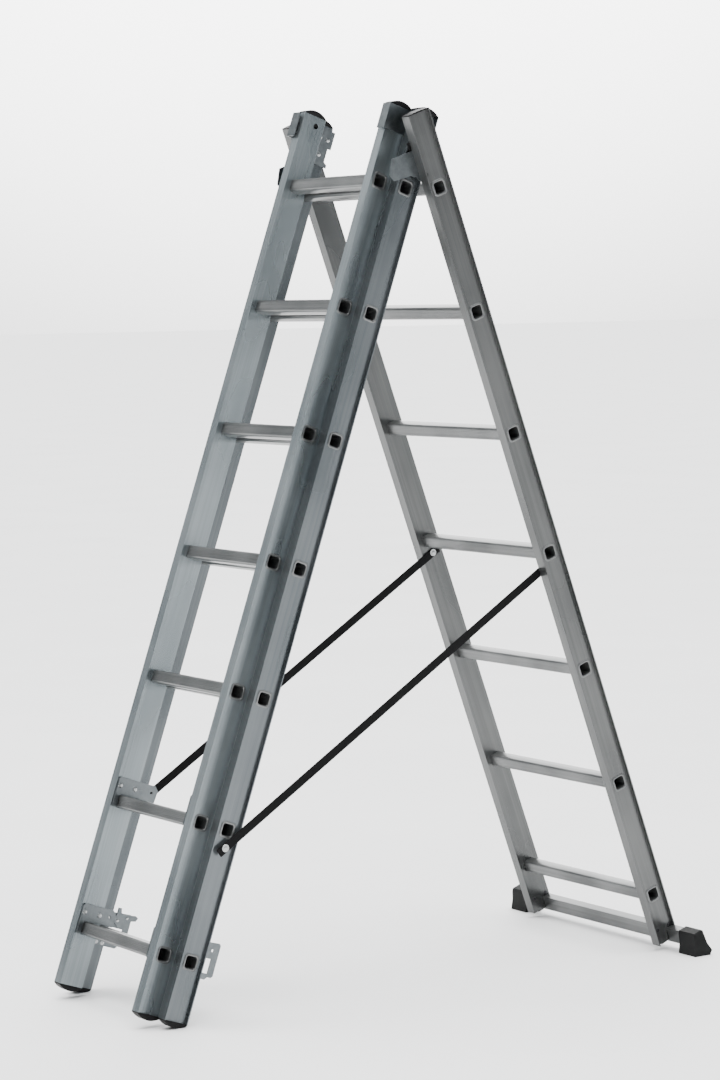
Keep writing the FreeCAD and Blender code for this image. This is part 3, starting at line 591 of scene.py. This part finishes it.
def catch():
    """Small locking catch on the inner face of the left latch, set out from its pivot."""
    name = "latch_left"
    pivot = Vector(JOINTS[name + "_turn"]["pos_m"])
    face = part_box(name)[1].x
    middle_y = sum(y for y, _ in CATCH_OUTLINE) / len(CATCH_OUTLINE)
    middle_z = sum(z for _, z in CATCH_OUTLINE) / len(CATCH_OUTLINE)
    bm = bmesh.new()
    loops = []
    for x, shrink in ((0.0, 0.0), (CATCH_THICKNESS - EDGE["plate"], 0.0), (CATCH_THICKNESS, 1.0)):
        loop = []
        for y, z in CATCH_OUTLINE:
            inward = Vector((0, middle_y - y, middle_z - z)).normalized() * shrink * EDGE["plate"]
            place = FRONT_LEG @ (Vector((0, y, z)) * MM + inward)
            loop.append(Vector((face + x, pivot.y + place.y, pivot.z + place.z)))
        loops.append(loop)
    rings = loft(bm, loops, False)
    bm.faces.new(rings[0])
    bm.faces.new(rings[-1])
    finished("latch_catch_left", bm, name, "zinc_steel", [], "zinc", sharp=25.0)
    bm = bmesh.new()
    for y, z in CATCH_RIVETS:
        place = FRONT_LEG @ (Vector((0, y, z)) * MM)
        spin(bm, Vector((0, pivot.y + place.y, pivot.z + place.z)), face + CATCH_THICKNESS, 1,
             dome(CATCH_RIVET_RADIUS, CATCH_RIVET_HEIGHT))
    finished("latch_catch_rivets", bm, name, "bright_fastener", [], "fastener")


# ---- build ----------------------------------------------------------------------------------
for section_name in SECTIONS:
    for rung_number in range(1, RUNG_COUNT + 1):
        rung(section_name, rung_number)

for section_name in SECTIONS:
    for side_name in SIDES:
        stile_name = "%s_stile_%s" % (section_name, side_name)
        paint(NODES[stile_name], section_name + "_stile")
        soften(stile_name, EDGE["stile"])

PLATES = ["hook_plates_upper", "hook_plates_lower", "latch_jaws"]
for side_name in SIDES:
    PLATES += ["guide_bracket_" + side_name, "hinge_plate_" + side_name, "latch_" + side_name,
               "hook_flap_upper_" + side_name, "hook_flap_lower_" + side_name]
for plate_name in PLATES:
    paint(NODES[plate_name], "zinc")
    soften(plate_name, EDGE["plate"])

for plastic_name in ("fly_top_caps", "fly_foot_caps", "middle_top_caps", "middle_foot_caps",
                     "base_top_caps", "foot_plugs", "hinge_buffers"):
    paint(NODES[plastic_name], "plastic")
    soften(plastic_name, EDGE["plastic"])

for side_name in SIDES:
    paint(NODES["stabiliser_foot_" + side_name], "rubber")
    soften("stabiliser_foot_" + side_name, EDGE["rubber"])
paint(NODES["stabiliser_bar"], "bar")
soften("stabiliser_bar", EDGE["bar"])

RIVET_HEIGHT = 1.3 * MM
RIVET = dome(radius=5.5 * MM, height=RIVET_HEIGHT, hole=1.2 * MM)
RIVETED = {"hook_rivets": "fly_section", "bracket_rivets": "middle_section",
           "hinge_plate_rivets": "base_section"}
SHANK = 3.0 * MM
PIN_HEIGHT = 2.0 * MM
PIN_SHANK = 4.0 * MM
BAR_BOLT_HEIGHT = 2.5 * MM
STRAP_BOLT_HEIGHT = 1.6 * MM
STRAP_BOLT = washer_head(radius=8.2 * MM, thickness=STRAP_BOLT_HEIGHT)

for rivets_name, body_name in RIVETED.items():
    fasteners(rivets_name, body_name, "bright_fastener", "fastener", RIVET, RIVET_HEIGHT,
              inward=True, shank=SHANK)
fasteners("hinge_pins", "middle_section", "bright_fastener", "fastener",
          dome(radius=9 * MM, height=PIN_HEIGHT), PIN_HEIGHT, inward=True, shank=PIN_SHANK)
fasteners("stabiliser_bolts", "base_section", "dark_bolts", "dark_bolt",
          dome(radius=4.5 * MM, height=BAR_BOLT_HEIGHT), BAR_BOLT_HEIGHT, inward=False,
          shank=SHANK, both_ends=True)
fasteners("strap_bolts_front", "middle_section", "bright_fastener", "fastener", STRAP_BOLT,
          STRAP_BOLT_HEIGHT, inward=False, shank=SHANK)
fasteners("strap_bolts_rear", "base_section", "bright_fastener", "fastener", STRAP_BOLT,
          STRAP_BOLT_HEIGHT, inward=True, shank=SHANK)

for side_name in SIDES:
    strap(side_name)
catch()


# ---- stage, light and camera ----------------------------------------------------------------
# Light from each side of the studio: (direction, cosine where it starts, cosine where it is
# full, radiance).  Later ones lie over earlier ones.
SIDE_LIGHT = (0.50, 0.53, 0.55)
WORLD_LOBES = (
    ((-0.83, 0.55, 0.0), 0.70, 0.90, (2.5, 2.5, 2.5)),
    ((-0.77, 0.51, 0.38), 0.90, 0.97, (7.0, 7.0, 7.0)),
    ((0.80, 0.60, -0.05), -0.20, 0.70, (0.26, 0.29, 0.31)),
    ((0.0, 0.0, 1.0), 0.65, 0.92, (6.5, 6.5, 6.5)),
)
FLOOR_TONES = ((0.90, 0.90, 0.90), (0.93, 0.93, 0.93))
FLOOR_PATCHES = (1.5, 1.5, 1.5)
FLOOR_REACH = 120.0
CAMERA_PLACE = Vector((5.5380, -3.7021, 1.4863))
CAMERA_AZIMUTH, CAMERA_ELEVATION, CAMERA_ROLL = (math.radians(a) for a in (56.31, -4.56, -0.91))
CAMERA_LENS = 101.66
CAMERA_SENSOR = 36.0


def floor():
    made, tree, shader = material("pale_floor")
    place = node(tree, "TexCoord").outputs["Object"]
    tone = spread(tree, noise(tree, place, FLOOR_PATCHES, detail=2.0), low=0.0, high=1.0)
    tree.links.new(blend_colours(tree, tone, *FLOOR_TONES), shader.inputs["Base Color"])
    shader.inputs["Roughness"].default_value = 0.9
    shader.inputs["Specular IOR Level"].default_value = 0.1
    mesh = bpy.data.meshes.new("floor")
    mesh.from_pydata([(-FLOOR_REACH, -FLOOR_REACH, 0), (FLOOR_REACH, -FLOOR_REACH, 0),
                      (FLOOR_REACH, FLOOR_REACH, 0), (-FLOOR_REACH, FLOOR_REACH, 0)],
                     [], [(0, 1, 2, 3)])
    mesh.materials.append(made)
    obj = bpy.data.objects.new("floor", mesh)
    bpy.context.scene.collection.objects.link(obj)


def world():
    """Studio: grey walls, a white backdrop behind the ladder with a softbox over it, a dim cool
    panel on the rear right and a softbox overhead."""
    made = bpy.data.worlds.new("studio")
    bpy.context.scene.world = made
    made.use_nodes = True
    tree = made.node_tree
    direction = node(tree, "TexCoord").outputs["Generated"]
    colour = SIDE_LIGHT
    for facing, start, full, light in WORLD_LOBES:
        along = node(tree, "VectorMath", {0: direction, 1: Vector(facing).normalized()},
                     operation="DOT_PRODUCT").outputs["Value"]
        share = node(tree, "MapRange", {"Value": along, "From Min": start, "From Max": full},
                     interpolation_type="SMOOTHSTEP").outputs[0]
        colour = blend_colours(tree, share, colour, light)
    shader = tree.nodes["Background"]
    tree.links.new(colour, shader.inputs["Color"])
    shader.inputs["Strength"].default_value = 1.0


def lamp(name, place, target, size, power):
    data = bpy.data.lights.new(name, "AREA")
    data.shape = "DISK"
    data.size = size
    data.energy = power
    obj = bpy.data.objects.new(name, data)
    bpy.context.scene.collection.objects.link(obj)
    obj.location = place
    obj.rotation_mode = "QUATERNION"
    obj.rotation_quaternion = (Vector(target) - Vector(place)).to_track_quat("-Z", "Y")


def camera():
    """The camera stands before the front leg and to its right, below the ladder's top."""
    flat = math.cos(CAMERA_ELEVATION)
    forward = Vector((-math.sin(CAMERA_AZIMUTH) * flat, math.cos(CAMERA_AZIMUTH) * flat,
                      math.sin(CAMERA_ELEVATION)))
    right = Vector((math.cos(CAMERA_AZIMUTH), math.sin(CAMERA_AZIMUTH), 0))
    up = right.cross(forward)
    across = math.cos(CAMERA_ROLL) * right + math.sin(CAMERA_ROLL) * up
    upward = math.cos(CAMERA_ROLL) * up - math.sin(CAMERA_ROLL) * right
    data = bpy.data.cameras.new("camera")
    data.lens = CAMERA_LENS
    data.sensor_width = CAMERA_SENSOR
    obj = bpy.data.objects.new("camera", data)
    bpy.context.scene.collection.objects.link(obj)
    turn = Matrix((across, upward, -forward)).transposed().to_4x4()
    turn.translation = CAMERA_PLACE
    obj.matrix_world = turn
    bpy.context.scene.camera = obj


floor()
world()
lamp("key", place=(-3.0, -4.0, 5.0), target=(0, 0, 0.9), size=4.0, power=160)
camera()
